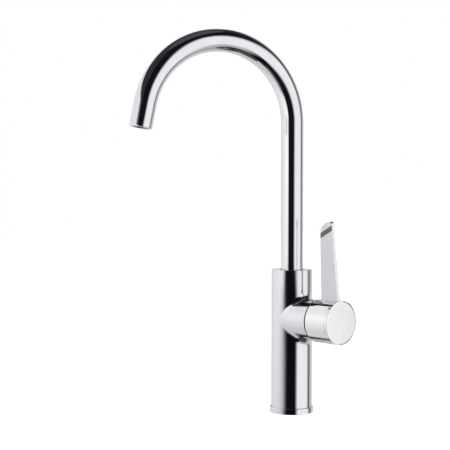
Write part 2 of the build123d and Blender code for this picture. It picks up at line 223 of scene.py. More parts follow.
def chromeMaterial(name, plateColour, hazeColour):
    # bright chromium plate over polished brass: a clean mirror, faintly blue, with the slight
    # waviness that hand polishing leaves and a fine haze of wiping marks
    look = {"waveMm": 60.0, "wave": 0.012, "waveDepthMm": 0.3, "hazeMm": 14.0, "markMm": 0.9,
            "hazeFrom": 0.35, "hazeTo": 0.7, "dullFrom": 0.15, "dullTo": 0.4,
            "smoothest": 0.02, "dullest": 0.05}
    material, tree = newMaterial(name)
    place = addNode(tree, "ShaderNodeTexCoord")
    wave = addNode(tree, "ShaderNodeTexNoise", values={"Scale": 1 / (look["waveMm"] * mm), "Detail": 1.0},
                   links={"Vector": place.outputs["Object"]})
    haze = addNode(tree, "ShaderNodeTexNoise", values={"Scale": 1 / (look["hazeMm"] * mm), "Detail": 4.0},
                   links={"Vector": place.outputs["Object"]})
    marks = addNode(tree, "ShaderNodeTexNoise", values={"Scale": 1 / (look["markMm"] * mm), "Detail": 3.0},
                    links={"Vector": place.outputs["Object"]})
    both = addNode(tree, "ShaderNodeMath", {"operation": "MULTIPLY"},
                   links={0: haze.outputs["Fac"], 1: marks.outputs["Fac"]})
    rough = addNode(tree, "ShaderNodeMapRange", values={
        "From Min": look["dullFrom"], "From Max": look["dullTo"],
        "To Min": look["smoothest"], "To Max": look["dullest"]},
        links={"Value": both.outputs[0]})
    tone = addNode(tree, "ShaderNodeMapRange", values={
        "From Min": look["hazeFrom"], "From Max": look["hazeTo"]}, links={"Value": haze.outputs["Fac"]})
    colour = addNode(tree, "ShaderNodeMix", {"data_type": "RGBA"}, links={0: tone.outputs[0]})
    colour.inputs[6].default_value = linearColour(plateColour)
    colour.inputs[7].default_value = linearColour(hazeColour)
    bump = addNode(tree, "ShaderNodeBump", values={
        "Strength": look["wave"], "Distance": look["waveDepthMm"] * mm},
        links={"Height": wave.outputs["Fac"]})
    shader = addNode(tree, "ShaderNodeBsdfPrincipled", values={"Metallic": 1.0}, links={
        "Base Color": colour.outputs[2], "Roughness": rough.outputs[0], "Normal": bump.outputs[0]})
    addNode(tree, "ShaderNodeOutputMaterial", links={"Surface": shader.outputs[0]})
    return material


grainShape = {"low": 0.3, "high": 0.7, "depthMm": 0.05}  # the part of the noise that a grain uses


def plainMaterial(name, look):
    # a base colour that drifts a little, a grain that breaks the gloss, and a fine bump
    material, tree = newMaterial(name)
    place = addNode(tree, "ShaderNodeTexCoord")
    drift = addNode(tree, "ShaderNodeTexNoise", values={"Scale": 1 / (look["driftMm"] * mm), "Detail": 2.0},
                    links={"Vector": place.outputs["Object"]})
    grain = addNode(tree, "ShaderNodeTexNoise", values={"Scale": 1 / (look["grainMm"] * mm), "Detail": 3.0},
                    links={"Vector": place.outputs["Object"]})
    colour = addNode(tree, "ShaderNodeMix", {"data_type": "RGBA"}, links={0: drift.outputs["Fac"]})
    colour.inputs[6].default_value = linearColour(look["colour"])
    colour.inputs[7].default_value = linearColour(look["shade"])
    rough = addNode(tree, "ShaderNodeMapRange", values={
        "From Min": grainShape["low"], "From Max": grainShape["high"],
        "To Min": look["smoothest"], "To Max": look["dullest"]},
        links={"Value": grain.outputs["Fac"]})
    bump = addNode(tree, "ShaderNodeBump", values={
        "Strength": look["bump"], "Distance": grainShape["depthMm"] * mm},
        links={"Height": grain.outputs["Fac"]})
    values = {"Metallic": look.get("metallic", 0.0)}
    if "ior" in look:
        values["IOR"] = look["ior"]
    shader = addNode(tree, "ShaderNodeBsdfPrincipled", values=values, links={
        "Base Color": colour.outputs[2], "Roughness": rough.outputs[0], "Normal": bump.outputs[0]})
    addNode(tree, "ShaderNodeOutputMaterial", links={"Surface": shader.outputs[0]})
    return material


chrome = chromeMaterial("chromePlatePolished", "DCDDE0", "D8D9DD")
# painted light: the hub, its disc and the lever's narrow sides get a brighter copy of the column's chrome
hubChromePaintedLight = chromeMaterial("chromePlatePaintedLight", "E6E6E6", "E2E2E3")
# painted shade: the lever's broad faces and most of its rounded rear edge get a greyer copy of the chrome,
# which mirrors as evenly
leverChromePaintedShade = chromeMaterial("chromePlatePaintedShade", "C4C5C9", "C1C2C6")
# machined brass, unplated: warm yellow with fine tool marks
brass = plainMaterial("brassMachined", {
    "colour": "E3C377", "shade": "C9A55C", "driftMm": 6.0, "grainMm": 0.5,
    "smoothest": 0.22, "dullest": 0.4, "bump": 0.3, "metallic": 1.0})
# turned stainless steel: cool grey with a satin lathe finish
steel = plainMaterial("stainlessSteelTurned", {
    "colour": "CBCCCE", "shade": "B3B4B8", "driftMm": 4.0, "grainMm": 0.4,
    "smoothest": 0.25, "dullest": 0.42, "bump": 0.25, "metallic": 1.0})
# moulded EPDM rubber: matt black with a dusty bloom
rubber = plainMaterial("epdmRubberMoulded", {
    "colour": "1E1E1F", "shade": "2B2B2D", "driftMm": 5.0, "grainMm": 0.6,
    "smoothest": 0.7, "dullest": 0.92, "bump": 0.5, "ior": 1.52})
# moulded acetal, near black, grey or white: satin, with the faint texture of its tool
acetal = {"driftMm": 4.0, "grainMm": 0.35, "smoothest": 0.34, "dullest": 0.5, "bump": 0.25, "ior": 1.48}
darkPlastic = plainMaterial("acetalDarkMoulded", {"colour": "2A2A2D", "shade": "35353A", **acetal})
greyPlastic = plainMaterial("acetalGreyMoulded", {"colour": "6E7176", "shade": "7E8186", **acetal})
whitePlastic = plainMaterial("acetalWhiteMoulded", {"colour": "E9E8E3", "shade": "DDDCD6", **acetal})
# lapped alumina: warm white, dense and glossy
ceramic = plainMaterial("aluminaLapped", {
    "colour": "F0EEE6", "shade": "E4E1D8", "driftMm": 3.0, "grainMm": 0.3,
    "smoothest": 0.12, "dullest": 0.22, "bump": 0.1, "ior": 1.77})
# satin taupe lacquer in the blade's recess, with a trace of spray texture
taupe = plainMaterial("lacquerTaupeSprayed", {
    "colour": "74695C", "shade": "6A6055", "driftMm": 3.0, "grainMm": 0.3,
    "smoothest": 0.42, "dullest": 0.58, "bump": 0.3, "ior": 1.5})

slotMaterials = {"chrome": chrome, "brass": brass, "steel": steel, "rubber": rubber,
                 "dark_plastic": darkPlastic, "grey_plastic": greyPlastic,
                 "white_plastic": whitePlastic, "ceramic": ceramic, "taupe_inlay": taupe}
nodeSlots = {s["node"]: s["material_slot"] for s in frame["record"]["subparts"]}
for nodeName, cadNode in frame["nodes"].items():
    cadNode.data.materials.clear()
    cadNode.data.materials.append(slotMaterials[nodeSlots[nodeName]])
print("materials ready")


# Column and side boss

bodyShape = {"columnRadius": 23.5, "foot": 3.0, "top": 164.3, "topRounding": 0.7,
             "bossRadius": 23.3, "bossEnd": 40.6, "bossRounding": 0.2, "blend": 8.0,
             "seat": 6.0, "cartridgeBore": 17.6, "nutBore": 19.5, "nutStart": 33.0,
             "chamber": 19.5, "chamberTop": 62.0, "socketMouth": 14.2, "socketBore": 12.78,
             "socketShoulder": 161.8, "socketFloor": 132.0, "corners": 240, "blendSteps": 12,
             "backSteps": 104, "brassMargin": 0.1, "brassTop": 100.0}
# threaded holes in the chamber's ceiling: three inlets and the fixing stud, as (x, y, radius, depth)
threadHoles = ((-2.0, -5.29, 3.5, 12.0), (-2.0, 5.29, 3.5, 12.0), (-12.0, 8.56, 3.5, 12.0),
               (11.5, 0.0, 3.4, 20.0))
threadShape = {"pitch": 1.0, "depth": 0.45, "chamfer": 0.6, "below": 1.0, "coneTip": 0.4,
               "tipMargin": 0.1, "corners": 48}
stopHole = {"radius": 2.55, "height": 146.5, "from": 12.0, "to": 25.0}


def blendCentre(turn):
    # centre of a ball rolling in the corner between column and boss, at that turn about the axis
    s = bodyShape
    reach = s["bossRadius"] + s["blend"]
    y, up = reach * math.sin(turn), reach * math.cos(turn)
    return Vector((math.sqrt((s["columnRadius"] + s["blend"]) ** 2 - y * y), y, up))


def blendPoint(turn, share):
    # share 0 is on the boss and share 1 on the column
    s = bodyShape
    centre = blendCentre(turn)
    toBoss = -Vector((0, centre.y, centre.z)).normalized()
    toColumn = -Vector((centre.x, centre.y, 0)).normalized()
    way = toBoss.slerp(toColumn, share) if share else toBoss
    return (centre + way * s["blend"]) * mm + Vector((0, 0, axisHeight))


def turnOf(point):
    # the turn about the handle's axis, from straight up
    return math.atan2(point.y, point.z - axisHeight)


def makeBody():
    # one ring goes out of the boss, over its rim, back along it and through the blend onto the column
    s = bodyShape
    piece = startRing("column_and_boss", s["cartridgeBore"] * mm,
                      sideways @ Matrix.Translation((0, 0, s["seat"] * mm)), s["corners"], True)
    edge = s["bossRounding"]
    rings = [(s["cartridgeBore"], s["nutStart"]), (s["nutBore"], s["nutStart"]),
             (s["nutBore"], s["bossEnd"]), (s["bossRadius"] - edge, s["bossEnd"])]
    rings += arcPoints((s["bossRadius"] - edge, s["bossEnd"] - edge), edge, 90, 0, 4)[1:]
    for radius, x in rings:
        extrudeTo(lambda p: Vector((x * mm, radius * mm * math.sin(turnOf(p)),
                                    axisHeight + radius * mm * math.cos(turnOf(p)))))
    turns = {}
    for step in range(s["blendSteps"] + 1):
        share = step / s["blendSteps"]
        bpy.ops.mesh.extrude_region_move()
        mesh = bmesh.from_edit_mesh(piece.data)
        chosen = [v for v in mesh.verts if v.select]
        if not turns:
            turns = {i: turnOf(v.co) for i, v in enumerate(chosen)}
        for i, v in enumerate(chosen):
            v.co = blendPoint(turns[i], share)
        bmesh.update_edit_mesh(piece.data)
    # the ring on the column goes up and down to the column's ends, and its side edge spins round the back
    radius = s["columnRadius"] * mm
    top, foot = (s["top"] - s["topRounding"]) * mm, s["foot"] * mm
    mesh = bmesh.from_edit_mesh(piece.data)
    ringCorners = {v.index for v in mesh.verts if v.select}
    bpy.ops.mesh.delete(type="ONLY_FACE")
    for end, way in ((top, 1), (foot, -1)):
        pick(lambda e: all(v.index in ringCorners and (v.co.z - axisHeight) * way > -hair
                           for v in e.verts), "EDGE")
        extrudeTo(lambda p: Vector((p.x, p.y, end)))
    start = blendPoint(math.pi / 2, 1)
    around = 2 * math.pi - 2 * abs(math.atan2(start.y, start.x))
    pick(lambda e: all((v.co.xy - start.xy).length < hair for v in e.verts), "EDGE")
    bpy.ops.mesh.spin(steps=s["backSteps"], angle=-around, center=(0, 0, 0), axis=(0, 0, 1))
    bpy.ops.mesh.select_all(action="SELECT")
    bpy.ops.mesh.remove_doubles(threshold=2 * hair)
    # top: rounded rim, socket for the spout
    pick(lambda e: all(abs(v.co.z - top) < hair / 10 and abs(v.co.xy.length - radius) < hair * 10
                       for v in e.verts) and e.is_boundary, "EDGE")
    r = s["topRounding"]
    rings = arcPoints((s["columnRadius"] - r, s["top"] - r), r, 0, 90, 4)[1:]
    rings += [(s["socketMouth"], s["top"]), (s["socketMouth"], s["socketShoulder"]),
              (s["socketBore"], s["socketShoulder"]), (s["socketBore"], s["socketFloor"])]
    for ringRadius, z in rings:
        extrudeTo(lambda p: Vector((p.x, p.y, 0)).normalized() * ringRadius * mm + Vector((0, 0, z * mm)))
    bpy.ops.mesh.edge_face_add()
    # underside: rim and chamber
    pick(lambda e: all(abs(v.co.z - foot) < hair / 10 for v in e.verts) and e.is_boundary, "EDGE")
    for ringRadius, z in ((s["chamber"], s["foot"]), (s["chamber"], s["chamberTop"])):
        extrudeTo(lambda p: Vector((p.x, p.y, 0)).normalized() * ringRadius * mm + Vector((0, 0, z * mm)))
    bpy.ops.mesh.edge_face_add()
    closeMesh()
    return piece


def threadCutter(x, y, radius, depth):
    # one ridge to each turn of the thread, with a chamfered mouth and the drill's cone at its end
    t = threadShape
    start = bodyShape["chamberTop"]
    end = start + depth
    coneEnd = end + radius / 2
    profile = [(radius + t["chamfer"], start - t["below"]), (radius + t["chamfer"], start),
               (radius, start + t["chamfer"])]
    height = start + t["chamfer"]
    while height + t["pitch"] < end:
        profile += [(radius + t["depth"], height + t["pitch"] / 2), (radius, height + t["pitch"])]
        height += t["pitch"]
    profile += [(radius, end), (t["coneTip"], coneEnd)]
    cutter = turnPiece("threadCutter", profile, corners=t["corners"], filled=True)
    bpy.ops.object.mode_set(mode="EDIT")
    pick(lambda e: e.is_boundary and all(v.co.z > (coneEnd - t["tipMargin"]) * mm for v in e.verts), "EDGE")
    bpy.ops.mesh.edge_face_add()
    closeMesh()
    cutter.matrix_world = Matrix.Translation((x * mm, y * mm, 0))
    return cutter


def rodCutter(radius, start, end, place, corners=48):
    # a round rod that carves a plain hole
    cutter = startRing("rodCutter", radius * mm, Matrix.Translation((0, 0, start * mm)), corners, True)
    extrudeTo(lambda p: Vector((p.x, p.y, end * mm)))
    closeMesh()
    cutter.matrix_world = place
    return cutter


body = makeBody()
for hole in threadHoles:
    carve(body, threadCutter(*hole))
backwards = Matrix.Translation((0, 0, stopHole["height"] * mm)) @ Matrix.Rotation(-math.pi / 2, 4, "X")
carve(body, rodCutter(stopHole["radius"], stopHole["from"], stopHole["to"], backwards))
# plated outside, bare brass in the chamber and its holes
for plate in (chrome, brass):
    body.data.materials.append(plate)
for face in body.data.polygons:
    inside = face.center.xy.length < (bodyShape["chamber"] + bodyShape["brassMargin"]) * mm
    face.material_index = 1 if inside and face.center.z < bodyShape["brassTop"] * mm else 0
finishPiece(body, "tap", [], ["tap_body"])
print("column done")


# Base ring

# the shadow gap is the fine line between the ring and the column; the groove takes the gasket
baseRing = {"radius": 25.0, "height": 6.7, "rounding": 0.7, "bore": 23.56, "gapMouth": 0.5,
            "gapDepth": 0.5, "gapWidth": 0.12, "gapEnd": 1.2, "seat": 3.0, "chamber": 19.5,
            "grooveOuter": 23.25, "grooveInner": 20.55, "grooveDepth": 1.5, "footRounding": 0.3}


def makeBaseRing():
    # a ring with rounded edges, a fine gap round the column and a groove underneath
    s = baseRing
    r, f = s["rounding"], s["footRounding"]
    profile = arcPoints((s["radius"] - f, f), f, -90, 0, 3)
    profile += arcPoints((s["radius"] - r, s["height"] - r), r, 0, 90, 6)
    profile += [(s["bore"] + s["gapMouth"], s["height"]),
                (s["bore"] + s["gapWidth"], s["height"] - s["gapDepth"]),
                (s["bore"], s["height"] - s["gapEnd"]), (s["bore"], s["seat"]),
                (s["chamber"], s["seat"]), (s["chamber"], 0), (s["grooveInner"], 0),
                (s["grooveInner"], s["grooveDepth"]), (s["grooveOuter"], s["grooveDepth"]),
                (s["grooveOuter"], 0), profile[0]]
    return turnPiece("base_trim_ring", profile)


finishPiece(makeBaseRing(), "tap", [chrome], ["base_ring"])


# Dome under the handle, hub and end disc

# places along the handle's axis are counted from the column's middle
domeShape = {"centre": 29.0, "radius": 25.6, "wall": 1.5, "opening": 15.2, "start": 40.6, "skirt": 19.35,
             "skirtInner": 17.8, "skirtEnd": 38.6}
hubShape = {"start": 43.3, "end": 72.0, "radiusStart": 24.6, "radiusEnd": 24.9, "rounding": 0.25,
            "endRounding": 0.04, "lipFlat": 0.05, "cup": 27.5, "cavity": 20.8, "web": 67.0,
            "webEnd": 70.0, "recess": 21.4, "socket": 9.0, "socketStart": 57.3, "plugX": 62.0,
            "plugHole": 3.05, "plugFrom": -26.0, "plugTo": -19.0}
discShape = {"radius": 24.8, "back": 72.0, "backEdge": 0.02, "front": 76.0, "face": 23.0, "slope": 0.5,
             "edge": 0.3, "faceEdge": 0.25, "faceDip": 0.01, "flatEdge": 1.0, "spigot": 21.35,
             "spigotStart": 70.0}


def ballPlaces(ball, startRadius, endRadius, steps):
    # (radius, place) pairs on a ball about the tilt pin
    low, high = math.asin(startRadius / ball), math.asin(endRadius / ball)
    turns = [low + (high - low) * i / steps for i in range(steps + 1)]
    return [(ball * math.sin(t), domeShape["centre"] + ball * math.cos(t)) for t in turns]


def makeDome():
    # a thin ball about the tilt pin, with a skirt that stands in the boss
    s = domeShape
    inside = s["radius"] - s["wall"]
    rim = math.sqrt(s["radius"] ** 2 - (s["start"] - s["centre"]) ** 2)
    innerRim = math.sqrt(inside ** 2 - (s["start"] + s["wall"] - s["centre"]) ** 2)
    profile = ballPlaces(s["radius"], rim, s["opening"], 14)
    profile += ballPlaces(inside, s["opening"], innerRim, 10)
    profile += [(s["skirtInner"], s["start"] + s["wall"]), (s["skirtInner"], s["skirtEnd"]),
                (s["skirt"], s["skirtEnd"]), (s["skirt"], s["start"]), profile[0]]
    return turnPiece("handle_dome", profile, sideways)


def makeHub():
    # a cup whose inside is a ball about the tilt pin, so that it clears the dome as it tilts
    s = hubShape
    r, e = s["rounding"], s["endRounding"]
    lip = math.sqrt(s["cup"] ** 2 - (s["start"] - domeShape["centre"]) ** 2)
    profile = [(s["recess"], s["webEnd"]), (s["recess"], s["end"])]
    profile += arcPoints((s["radiusEnd"] - e, s["end"] - e), e, 90, 0, 3)
    profile += arcPoints((s["radiusStart"] - r, s["start"] + r), r, 0, -60, 4)
    profile += [(lip + s["lipFlat"], s["start"])]
    profile += ballPlaces(s["cup"], lip, s["cavity"], 5)
    profile += [(s["cavity"], s["web"]), (s["socket"], s["web"]), (s["socket"], s["socketStart"])]
    return turnPiece("handle_hub_cup", profile, sideways, filled=True)


def makeDisc():
    # a flat face inside a rim that slopes back gently to a rounded edge
    s = discShape
    e, bend, nick = s["edge"], s["faceEdge"], s["backEdge"]
    lift = math.atan2(s["slope"], s["radius"] - s["face"])
    edgeHeight = s["front"] - s["slope"] - e * (1 - math.sin(lift)) / math.cos(lift)
    profile = [(s["spigot"], s["spigotStart"]), (s["spigot"], s["back"]),
               (s["radius"] - nick, s["back"]), (s["radius"], s["back"] + nick)]
    profile += arcPoints((s["radius"] - e, edgeHeight), e, 0, 90 - math.degrees(lift), 5)
    profile += [(s["face"] + bend, s["front"] - bend * math.tan(lift)),
                (s["face"], s["front"] - s["faceDip"]), (s["face"] - bend, s["front"]),
                (s["face"] - s["flatEdge"], s["front"])]
    return turnPiece("handle_end_disc", profile, sideways, filled=True)


# the dome is dark moulded plastic, and so also puts painted shade into the seam between boss and hub
finishPiece(makeDome(), "tap", [darkPlastic], ["dome_cover"])
hub = makeHub()
carve(hub, rodCutter(hubShape["plugHole"], hubShape["plugFrom"], hubShape["plugTo"],
                     Matrix.Translation((hubShape["plugX"] * mm, 0, axisHeight))))
# the hub and the end disc take the chrome copy with painted light
finishPiece(hub, "handle", [hubChromePaintedLight], ["handle_hub"])
finishPiece(makeDisc(), "handle", [hubChromePaintedLight], ["end_disc"])


# Lever blade with its inlay

# the blade lies in the plane of the handle's axis: x from the column's middle, heights from the worktop
bladeShape = {"footOuter": 72.22, "footInner": 47.94, "topInner": 45.7, "foot": 130.0, "innerTop": 190.5,
              "shoulder": 208.0, "arch": (50.0, 216.1), "archEnd": (58.2, 219.9), "archSteps": 16,
              "tip": 220.3, "tipX": 61.9, "facet": 1.9, "footThickness": 5.2, "tipThickness": 4.2,
              "thickFrom": 126.5, "thickTo": 222.5, "rounding": 0.18, "backRounding": 0.7,
              "backMargin": 0.2, "backShortest": 50.0}
inlayShape = {"floor": -1.7, "edge": 0.1,
              "corners": ((40.0, 197.9), (70.0, 214.2), (70.0, 220.4), (40.0, 203.9))}


def arcThrough(first, second, third, steps):
    # points on the arc through three points of a flat drawing
    (ax, ay), (bx, by), (cx, cy) = first, second, third
    d = 2 * (ax * (by - cy) + bx * (cy - ay) + cx * (ay - by))
    a, b, c = ax * ax + ay * ay, bx * bx + by * by, cx * cx + cy * cy
    centre = ((a * (by - cy) + b * (cy - ay) + c * (ay - by)) / d,
              (a * (cx - bx) + b * (ax - cx) + c * (bx - ax)) / d)
    start = math.atan2(ay - centre[1], ax - centre[0])
    end = math.atan2(cy - centre[1], cx - centre[0])
    turn = (end - start + math.pi) % (2 * math.pi) - math.pi
    radius = math.hypot(ax - centre[0], ay - centre[1])
    return [(centre[0] + radius * math.cos(start + turn * i / steps),
             centre[1] + radius * math.sin(start + turn * i / steps)) for i in range(steps + 1)]


def bladeOutline():
    # straight inner edge, rounded shoulder, and a small slanted facet at the outer tip
    s = bladeShape
    shoulder = arcThrough((s["topInner"], s["shoulder"]), s["arch"], s["archEnd"], s["archSteps"])
    foot = [(s["footOuter"], s["foot"]), (s["footInner"], s["foot"]), (s["topInner"], s["innerTop"])]
    return foot + shoulder + [(s["tipX"] - s["facet"], s["tip"]), (s["tipX"], s["tip"] - s["facet"])]


def bladeHalf(height):
    # half the thickness, which falls from the foot to the tip
    s = bladeShape
    share = (height - s["thickFrom"]) / (s["thickTo"] - s["thickFrom"])
    return (s["footThickness"] + (s["tipThickness"] - s["footThickness"]) * share) / 2


def makeBlade():
    # the blade with its recess, and the strip that fills it
    s = bladeShape
    blade = slabPiece("lever", bladeOutline(), lambda z: -bladeHalf(z), bladeHalf)
    bpy.ops.object.mode_set(mode="EDIT")
    # the rear edge on the outer side is rounder than the others
    rear = s["tipThickness"] / 2 - s["backMargin"]
    pick(lambda e: e.calc_length() > s["backShortest"] * mm and all(
        v.co.y > rear * mm and v.co.x > s["tipX"] * mm - hair for v in e.verts), "EDGE")
    bpy.ops.mesh.bevel(offset=s["backRounding"] * mm, segments=8)
    bpy.ops.object.mode_set(mode="OBJECT")
    roundEdges(blade, s["rounding"] * mm, 4, 50)
    reach = -s["footThickness"]
    cutter = slabPiece("stripCutter", inlayShape["corners"], lambda z: reach, lambda z: inlayShape["floor"])
    strip = duplicate(blade, "lever_strip")
    carve(strip, cutter, "INTERSECT", keep=True)
    roundEdges(strip, inlayShape["edge"] * mm, 2, 50)
    carve(blade, cutter)
    return blade, strip


blade, strip = makeBlade()
paintedShadeSides = {"front": -0.9, "rear": 0.15}  # how far a face's normal points along y on the faces that get the painted shade: the broad sides and the rear rounding
blade.data.materials.clear()
for plate in (hubChromePaintedLight, leverChromePaintedShade):
    blade.data.materials.append(plate)
# painted shade on the broad sides and the rear rounding, painted light on the narrow sides
for face in blade.data.polygons:
    broad = face.normal.y < paintedShadeSides["front"] or face.normal.y > paintedShadeSides["rear"]
    face.material_index = 1 if broad else 0
finishPiece(blade, "handle", [], ["lever_blade"])
finishPiece(strip, "handle", [taupe], ["lever_inlay"])


# Gooseneck

spoutShape = {"angle": -109.35, "radius": 12.7, "wall": 1.0, "foot": 156.3, "straightTop": 331.0,
              "arcRadius": 90.4, "sweep": 168.0, "tail": 26.9, "lip": 1.0, "rimRounding": 0.25,
              "corners": 144, "arcSteps": 112}


def spoutDirection():
    # the way from the column to the outlet, as in the photograph
    turn = math.radians(spoutShape["angle"])
    return Vector((math.cos(turn), math.sin(turn), 0))


def tailFrame():
    # a frame at the outlet's tip, whose height runs down the tail and out
    s = spoutShape
    out = spoutDirection()
    sweep = math.radians(s["sweep"])
    end = out * s["arcRadius"] * (1 - math.cos(sweep)) + Vector(
        (0, 0, s["straightTop"] + s["arcRadius"] * math.sin(sweep)))
    way = out * math.sin(sweep) + Vector((0, 0, math.cos(sweep)))
    across = Vector((0, 0, 1)).cross(out)
    frameAxes = Matrix((across, way.cross(across), way)).transposed().to_4x4()
    return Matrix.Translation((end + way * s["tail"]) * mm) @ frameAxes


def makeGooseneck():
    # a ring goes up the straight, round the arc and down the tail, and then gets its wall
    s = spoutShape
    out = spoutDirection()
    piece = startRing("spout_gooseneck", s["radius"] * mm, Matrix.Translation((0, 0, s["foot"] * mm)),
                      s["corners"])
    top = s["straightTop"] * mm
    extrudeTo(lambda p: Vector((p.x, p.y, top)))
    across = Vector((0, 0, 1)).cross(out)
    centre = out * s["arcRadius"] * mm + Vector((0, 0, top))
    bpy.ops.mesh.spin(steps=s["arcSteps"], angle=-math.radians(s["sweep"]), center=centre, axis=across)
    way = tailFrame().to_3x3() @ Vector((0, 0, 1))
    bpy.ops.mesh.extrude_region_move(TRANSFORM_OT_translate={"value": way * (s["tail"] - s["lip"]) * mm})
    closeMesh()
    applyModifier(piece, "SOLIDIFY", thickness=s["wall"] * mm, offset=-1, use_even_offset=True)
    roundEdges(piece, s["rimRounding"] * mm, 3)
    return piece


finishPiece(makeGooseneck(), "spout", [chrome], ["spout_tube"])


# Outlet

outletShape = {"collar": 12.3, "collarRounding": 0.45, "bore": 9.6, "boreChamfer": 0.35, "inside": 11.65,
               "depth": 11.0, "lip": 1.0}


def makeOutletCollar():
    # a collar inside the tube, whose rounded rim stands just past the tube's end
    s = outletShape
    r, c = s["collarRounding"], s["boreChamfer"]
    profile = arcPoints((s["collar"] - r, -r), r, 90, 0, 5)
    profile += [(s["collar"], -s["lip"]), (s["inside"], -s["lip"]), (s["inside"], -s["depth"]),
                (s["bore"], -s["depth"]), (s["bore"], -c), (s["bore"] + c, 0), profile[0]]
    return turnPiece("outlet_collar", profile, tailFrame())


finishPiece(makeOutletCollar(), "spout", [chrome], ["aerator_housing"])
print("pieces done")


# Studio: what the chrome mirrors. Two round walls of pale cloth stand about the tap, the inner one with
# soft edges that let the outer one through, and the side towards the camera stays dark

studioShape = {"turn": 43.5, "outer": 1.317, "outerFoot": -2.0, "outerTop": 3.5, "inner": 0.448,
               "innerFoot": -1.2, "innerTop": 1.6, "corners": 128, "tint": "C8C8E0", "paleFrom": 0.6,
               "base": 0.015, "leanHeight": 0.3, "fallAzimuth": 60, "fallSpan": 100}
# panels of the cloth: azimuths in degrees about the tap, heights in metres, and at each edge the softness
# in the same measure; a level of 1 mirrors as pale grey; a lean is the slant of an upright edge in degrees
# per metre, about leanHeight, and a fall that of a top edge in metres per fallSpan degrees
outerPanels = {
    "roomLeft": {"level": 0.063, "to": -34, "softTo": 8.4},
    "roomRight": {"level": 0.082, "from": 126, "softFrom": 60},
    "rightWall": {"level": 0.669, "from": 100.5, "softFrom": 4.3, "high": 0.776, "softHigh": 0.82},
    "rightGlow": {"level": 0.808, "from": 134, "softFrom": 13.8, "high": 1.307, "softHigh": 0.726},
    "gap": {"level": 0.02, "from": 105.0, "softFrom": 1.5, "to": 114.5, "softTo": 6.0, "low": -0.613,
            "softLow": 0.443},
    "softBox": {"level": 1.15, "from": 21.2, "softFrom": 12.1, "leanFrom": 6.7, "to": 96.3, "softTo": 10.1,
                "low": -1.27, "softLow": 1.0, "high": 1.312, "softHigh": 0.403},
    "under": {"level": 0.597, "high": -0.983, "softHigh": 0.74},
}
innerPanels = {
    "leftWall": {"level": 1.025, "to": -50.9, "softTo": 6.5, "leanTo": -12.1, "high": 0.47, "softHigh": 0.024,
                 "fall": -0.348},
    "leftFoot": {"level": 0.78, "to": -62.0, "softTo": 12.0, "high": -0.12, "softHigh": 0.17},
    "leftBack": {"level": 0.754, "to": -139.4, "softTo": 20, "high": 0.626, "softHigh": 0.384},
    "leftGlow": {"level": 1.359, "from": -86.3, "softFrom": 28.9, "to": -41.4, "softTo": 3.5, "leanTo": -11.2,
                 "low": 0.134, "softLow": 0.239, "high": 0.368, "softHigh": 0.086},
    "leftDim": {"level": 0.782, "from": -71.4, "softFrom": 36.7, "to": -26.9, "softTo": 10.9, "leanTo": 26.9,
                "low": -0.318, "softLow": 0.545, "high": 0.056, "softHigh": 0.071},
    "flag": {"level": 0.01, "from": -42.6, "softFrom": 38.2, "to": 27.1, "softTo": 11.9, "leanTo": 11.9,
             "low": -1.306, "softLow": 1.0, "high": 0.12, "softHigh": 0.039},
}


def panelMask(tree, panel, degrees, height):
    # 1 inside the panel and 0 outside, with its own softness at each edge
    room = studioShape
    lean = addNode(tree, "ShaderNodeMath", {"operation": "SUBTRACT"}, {1: room["leanHeight"]},
                   {0: height.outputs["Z"]})
    mask = None
    edges = (("from", degrees.outputs[0], lean, "leanFrom", "softFrom", 0, 1),
             ("to", degrees.outputs[0], lean, "leanTo", "softTo", 1, 0),
             ("low", height.outputs["Z"], None, None, "softLow", 0, 1),
             ("high", height.outputs["Z"], degrees, "fall", "softHigh", 1, 0))
    for edgeName, source, across, slant, soft, before, after in edges:
        if edgeName not in panel:
            continue
        if slant in panel:
            # a slanted edge: what is measured moves along with the other direction
            share = panel[slant] / (room["fallSpan"] if slant == "fall" else 1)
            shift = room["fallAzimuth"] * share if slant == "fall" else 0
            moved = addNode(tree, "ShaderNodeMath", {"operation": "MULTIPLY_ADD"}, {1: -share, 2: -shift},
                            {0: across.outputs[0]})
            source = addNode(tree, "ShaderNodeMath", {"operation": "ADD"},
                             links={0: source, 1: moved.outputs[0]}).outputs[0]
        edge = addNode(tree, "ShaderNodeMapRange", {"interpolation_type": "SMOOTHSTEP"},
                       {"From Min": panel[edgeName] - panel[soft], "From Max": panel[edgeName] + panel[soft],
                        "To Min": before, "To Max": after}, {"Value": source})
        if mask:
            edge = addNode(tree, "ShaderNodeMath", {"operation": "MULTIPLY"},
                           links={0: mask.outputs[0], 1: edge.outputs[0]})
        mask = edge
    return mask


